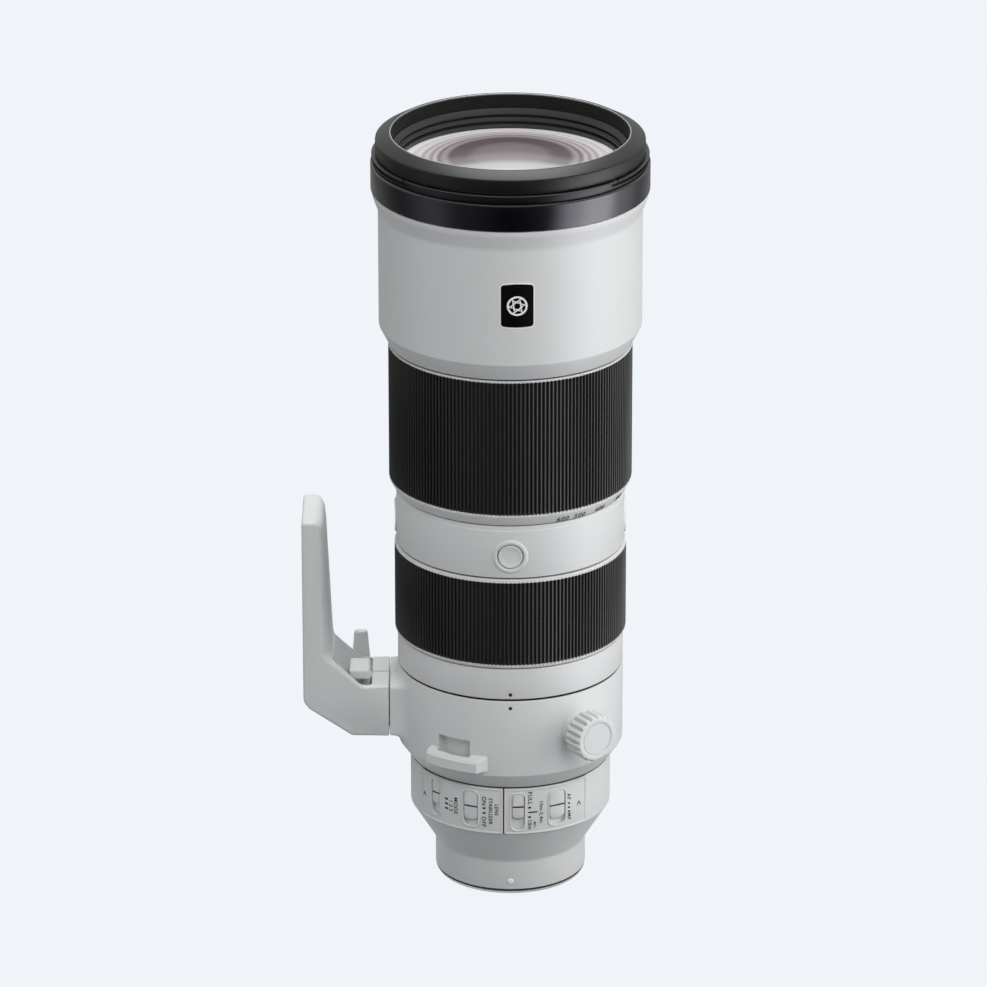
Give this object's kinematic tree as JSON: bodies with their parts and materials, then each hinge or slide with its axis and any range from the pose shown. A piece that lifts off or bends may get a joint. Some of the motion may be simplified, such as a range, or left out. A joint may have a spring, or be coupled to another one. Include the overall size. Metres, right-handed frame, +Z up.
{
  "type": "super-telephoto zoom lens",
  "caption": "White super-telephoto zoom lens on its bayonet, with zoom and focus rings, hold buttons, switch panels and a rotating tripod collar with a slide-off foot.",
  "frame": {"origin": "under the middle of the whole object, on the surface that the bayonet's rear face stands on; the lens axis is at x = 14.3 mm, y = 0", "axes": "+Z up along the lens axis towards the front glass, -Y the side with the switches and the badge, -X the side with the tripod foot"},
  "size_m": [0.1402, 0.1116, 0.3217],
  "materials": {
    "white_paint": "satin, fine grained",
    "grip_rubber": "matt, ribbed",
    "gloss_black": "gloss",
    "matte_black": "matt",
    "lens_glass": "coated",
    "bright_steel": "turned",
    "tube_aluminium": "anodised",
    "turned_brass": "turned",
    "circuit_green": "solder mask"
  },
  "bodies": {
    "root": {"mount_bayonet": "bright_steel", "mount_screw_1": "bright_steel", "mount_screw_2": "bright_steel", "mount_screw_3": "bright_steel", "mount_screw_4": "bright_steel", "mount_gasket": "grip_rubber", "contact_block": "matte_black", "rear_baffle": "matte_black", "rear_lens_cell": "matte_black", "rear_element": "lens_glass", "rear_barrel": "white_paint", "switch_panel_left": "white_paint", "switch_panel_right": "white_paint", "main_board": "circuit_green", "main_tube": "tube_aluminium", "index_ring": "white_paint", "middle_barrel": "white_paint", "front_barrel": "white_paint", "badge_plate": "gloss_black", "hood_ring": "gloss_black", "front_rim": "matte_black", "retaining_ring": "matte_black", "front_lens_cell": "tube_aluminium", "front_element": "lens_glass", "focus_base": "matte_black", "focus_rail_1": "bright_steel", "focus_rail_2": "bright_steel", "focus_motor": "matte_black", "iris_unit": "matte_black"},
    "zoom_ring": {"zoom_ring": "white_paint", "zoom_grip": "grip_rubber", "cam_tube": "tube_aluminium"},
    "zoom_group": {"zoom_cell": "matte_black", "zoom_element": "lens_glass", "cam_follower_1": "turned_brass", "cam_follower_2": "turned_brass", "cam_follower_3": "turned_brass"},
    "focus_ring": {"focus_ring": "white_paint", "focus_grip": "grip_rubber"},
    "focus_group": {"focus_cell": "matte_black", "focus_element": "lens_glass"},
    "stabiliser_carriage": {"stabiliser_carriage": "tube_aluminium"},
    "stabiliser_cell": {"stabiliser_cell": "matte_black", "stabiliser_element": "lens_glass"},
    "hold_button_left": {"hold_button_left": "white_paint"},
    "hold_button_front": {"hold_button_front": "white_paint"},
    "hold_button_right": {"hold_button_right": "white_paint"},
    "mode_switch": {"mode_switch": "white_paint"},
    "stabiliser_switch": {"stabiliser_switch": "white_paint"},
    "focus_range_switch": {"focus_range_switch": "white_paint"},
    "focus_mode_switch": {"focus_mode_switch": "white_paint"},
    "collar": {"tripod_collar": "white_paint", "strap_lug_front": "white_paint", "strap_lug_back": "white_paint"},
    "knob": {"collar_knob": "white_paint", "collar_clamp_screw": "bright_steel"},
    "foot": {"tripod_foot": "white_paint", "foot_thread_insert": "turned_brass"},
    "foot_lever": {"foot_lever": "white_paint"}
  },
  "joints": [
    {"name": "zoom_turn", "type": "hinge", "parent": "root", "child": "zoom_ring", "pos_m": [0.01432, 0, 0.2025], "axis": [0, 0, 1], "range_deg": [0, 63]},
    {"name": "zoom_group_slide", "type": "slide", "parent": "root", "child": "zoom_group", "axis": [0, 0, 1], "range_m": [0, 0.024]},
    {"name": "focus_turn", "type": "hinge", "parent": "root", "child": "focus_ring", "pos_m": [0.01432, 0, 0.1285], "axis": [0, 0, 1], "continuous": true},
    {"name": "focus_group_slide", "type": "slide", "parent": "root", "child": "focus_group", "axis": [0, 0, 1], "range_m": [0, 0.015]},
    {"name": "stabiliser_sway", "type": "slide", "parent": "root", "child": "stabiliser_carriage", "axis": [1, 0, 0], "range_m": [-0.0008, 0.0008], "stiffness_N_per_m": 300},
    {"name": "stabiliser_heave", "type": "slide", "parent": "stabiliser_carriage", "child": "stabiliser_cell", "axis": [0, 1, 0], "range_m": [-0.0008, 0.0008], "stiffness_N_per_m": 300},
    {"name": "hold_press_left", "type": "slide", "parent": "root", "child": "hold_button_left", "axis": [1, 0, 0], "range_m": [0, 0.0006], "stiffness_N_per_m": 800},
    {"name": "hold_press_front", "type": "slide", "parent": "root", "child": "hold_button_front", "axis": [0, 1, 0], "range_m": [0, 0.0006], "stiffness_N_per_m": 800},
    {"name": "hold_press_right", "type": "slide", "parent": "root", "child": "hold_button_right", "axis": [-1, 0, 0], "range_m": [0, 0.0006], "stiffness_N_per_m": 800},
    {"name": "mode_slide", "type": "slide", "parent": "root", "child": "mode_switch", "axis": [0, 0, -1], "range_m": [0, 0.005]},
    {"name": "stabiliser_switch_slide", "type": "slide", "parent": "root", "child": "stabiliser_switch", "axis": [0, 0, -1], "range_m": [0, 0.003]},
    {"name": "focus_range_slide", "type": "slide", "parent": "root", "child": "focus_range_switch", "axis": [0, 0, -1], "range_m": [0, 0.0053]},
    {"name": "focus_mode_slide", "type": "slide", "parent": "root", "child": "focus_mode_switch", "axis": [0, 0, -1], "range_m": [0, 0.003]},
    {"name": "collar_turn", "type": "hinge", "parent": "root", "child": "collar", "pos_m": [0.01432, 0, 0.0785], "axis": [0, 0, 1], "continuous": true},
    {"name": "knob_turn", "type": "hinge", "parent": "collar", "child": "knob", "pos_m": [0.04607, -0.04369, 0.0795], "axis": [0.5878, -0.809, 0], "range_deg": [0, 360]},
    {"name": "foot_slide", "type": "slide", "parent": "collar", "child": "foot", "axis": [0, 0, 1], "range_m": [0, 0.03]},
    {"name": "foot_lever_turn", "type": "hinge", "parent": "foot", "child": "foot_lever", "pos_m": [-0.04688, 0, 0.0825], "axis": [-1, 0, 0], "range_deg": [0, 10]}
  ],
  "couplings": [
    {"joint": "zoom_group_slide", "follows": "zoom_turn", "m_per_rad": 0.021816}
  ]
}
